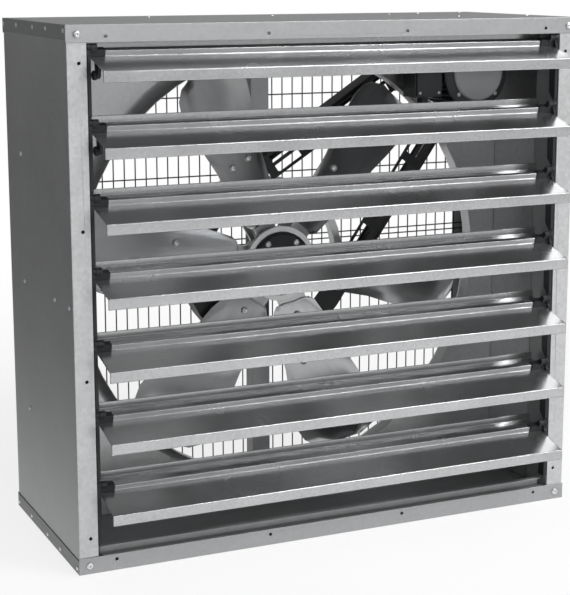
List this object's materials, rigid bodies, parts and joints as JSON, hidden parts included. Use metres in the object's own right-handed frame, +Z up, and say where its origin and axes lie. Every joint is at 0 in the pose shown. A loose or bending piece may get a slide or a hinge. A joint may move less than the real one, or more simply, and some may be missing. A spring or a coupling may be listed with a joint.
{
  "type": "wall axial fan",
  "caption": "Square box wall fan of folded galvanised sheet: belt-driven propeller in a spun ring, inlet mesh, corner motor and linked tilting louvres.",
  "frame": {"origin": "middle of the casing's underside", "axes": "+X to the right seen from the louvres, +Y from the louvres to the inlet mesh, +Z up"},
  "size_m": [1.1, 0.5164, 1.045],
  "materials": {
    "galvanised_sheet": "spangled zinc",
    "louvre_sheet": "smooth zinc",
    "blade_sheet": "bright rolled",
    "mesh_wire": "dull zinc",
    "turned_steel": "turned",
    "cast_metal": "as cast",
    "motor_black": "satin black",
    "motor_grey": "satin grey",
    "black_plastic": "moulded",
    "belt_rubber": "matt"
  },
  "bodies": {
    "casing": {"top_panel": "galvanised_sheet", "bottom_panel": "galvanised_sheet", "left_side_panel": "galvanised_sheet", "right_side_panel": "galvanised_sheet", "inlet_ring_panel": "galvanised_sheet", "rear_post": "galvanised_sheet", "inlet_mesh": "mesh_wire", "spindle": "turned_steel", "drive_belt": "belt_rubber", "belt_guard": "black_plastic", "motor_body": "motor_black", "motor_front_shield": "motor_black", "motor_front_cover": "motor_grey", "motor_rear_shield": "motor_black", "terminal_box": "motor_black", "terminal_lid": "motor_black", "cable_gland": "black_plastic", "motor_bracket": "galvanised_sheet", "left_bearing_strip": "galvanised_sheet", "right_bearing_strip": "galvanised_sheet", "louvre_sill": "galvanised_sheet"},
    "propeller": {"propeller_hub": "cast_metal", "hub_cap": "black_plastic", "front_bearing": "turned_steel", "rear_bearing": "turned_steel", "driven_pulley": "cast_metal", "blade_1": "blade_sheet", "blade_2": "blade_sheet", "blade_3": "blade_sheet", "blade_4": "blade_sheet", "blade_5": "blade_sheet", "blade_6": "blade_sheet"},
    "motor_rotor": {"motor_shaft": "turned_steel", "motor_pulley": "cast_metal"},
    "louvre_1": {"louvre_1": "louvre_sheet", "left_crank_1": "black_plastic", "right_crank_1": "black_plastic"},
    "louvre_2": {"louvre_2": "louvre_sheet", "left_crank_2": "black_plastic", "right_crank_2": "black_plastic"},
    "louvre_3": {"louvre_3": "louvre_sheet", "left_crank_3": "black_plastic", "right_crank_3": "black_plastic"},
    "louvre_4": {"louvre_4": "louvre_sheet", "left_crank_4": "black_plastic", "right_crank_4": "black_plastic"},
    "louvre_5": {"louvre_5": "louvre_sheet", "left_crank_5": "black_plastic", "right_crank_5": "black_plastic"},
    "louvre_6": {"louvre_6": "louvre_sheet", "left_crank_6": "black_plastic", "right_crank_6": "black_plastic"},
    "louvre_7": {"louvre_7": "louvre_sheet", "left_crank_7": "black_plastic", "right_crank_7": "black_plastic"},
    "left_link_bar": {"left_link_bar": "black_plastic"},
    "right_link_bar": {"right_link_bar": "black_plastic"}
  },
  "joints": [
    {"name": "fan_spin", "type": "hinge", "parent": "casing", "child": "propeller", "pos_m": [0, 0.08, 0.518], "axis": [0, 1, 0], "continuous": true},
    {"name": "motor_spin", "type": "hinge", "parent": "casing", "child": "motor_rotor", "pos_m": [0.422, 0.128, 0.922], "axis": [0, 1, 0], "continuous": true},
    {"name": "louvre_1_tilt", "type": "hinge", "parent": "casing", "child": "louvre_1", "pos_m": [0, -0.205, 0.162], "axis": [1, 0, 0], "range_deg": [0, 65]},
    {"name": "louvre_2_tilt", "type": "hinge", "parent": "casing", "child": "louvre_2", "pos_m": [0, -0.205, 0.3005], "axis": [1, 0, 0], "range_deg": [0, 65]},
    {"name": "louvre_3_tilt", "type": "hinge", "parent": "casing", "child": "louvre_3", "pos_m": [0, -0.205, 0.439], "axis": [1, 0, 0], "range_deg": [0, 65]},
    {"name": "louvre_4_tilt", "type": "hinge", "parent": "casing", "child": "louvre_4", "pos_m": [0, -0.205, 0.5775], "axis": [1, 0, 0], "range_deg": [0, 65]},
    {"name": "louvre_5_tilt", "type": "hinge", "parent": "casing", "child": "louvre_5", "pos_m": [0, -0.205, 0.716], "axis": [1, 0, 0], "range_deg": [0, 65]},
    {"name": "louvre_6_tilt", "type": "hinge", "parent": "casing", "child": "louvre_6", "pos_m": [0, -0.205, 0.8545], "axis": [1, 0, 0], "range_deg": [0, 65]},
    {"name": "louvre_7_tilt", "type": "hinge", "parent": "casing", "child": "louvre_7", "pos_m": [0, -0.205, 0.993], "axis": [1, 0, 0], "range_deg": [0, 65]},
    {"name": "left_link_bar_pivot", "type": "hinge", "parent": "louvre_1", "child": "left_link_bar", "pos_m": [-0.50505, -0.21631, 0.17331], "axis": [1, 0, 0], "range_deg": [-65, 0]},
    {"name": "right_link_bar_pivot", "type": "hinge", "parent": "louvre_1", "child": "right_link_bar", "pos_m": [0.50505, -0.21631, 0.17331], "axis": [1, 0, 0], "range_deg": [-65, 0]}
  ],
  "couplings": [
    {"joint": "motor_spin", "follows": "fan_spin", "ratio": 2.6471},
    {"joint": "louvre_2_tilt", "follows": "louvre_1_tilt", "ratio": 1},
    {"joint": "louvre_3_tilt", "follows": "louvre_1_tilt", "ratio": 1},
    {"joint": "louvre_4_tilt", "follows": "louvre_1_tilt", "ratio": 1},
    {"joint": "louvre_5_tilt", "follows": "louvre_1_tilt", "ratio": 1},
    {"joint": "louvre_6_tilt", "follows": "louvre_1_tilt", "ratio": 1},
    {"joint": "louvre_7_tilt", "follows": "louvre_1_tilt", "ratio": 1},
    {"joint": "left_link_bar_pivot", "follows": "louvre_1_tilt", "ratio": -1},
    {"joint": "right_link_bar_pivot", "follows": "louvre_1_tilt", "ratio": -1}
  ]
}
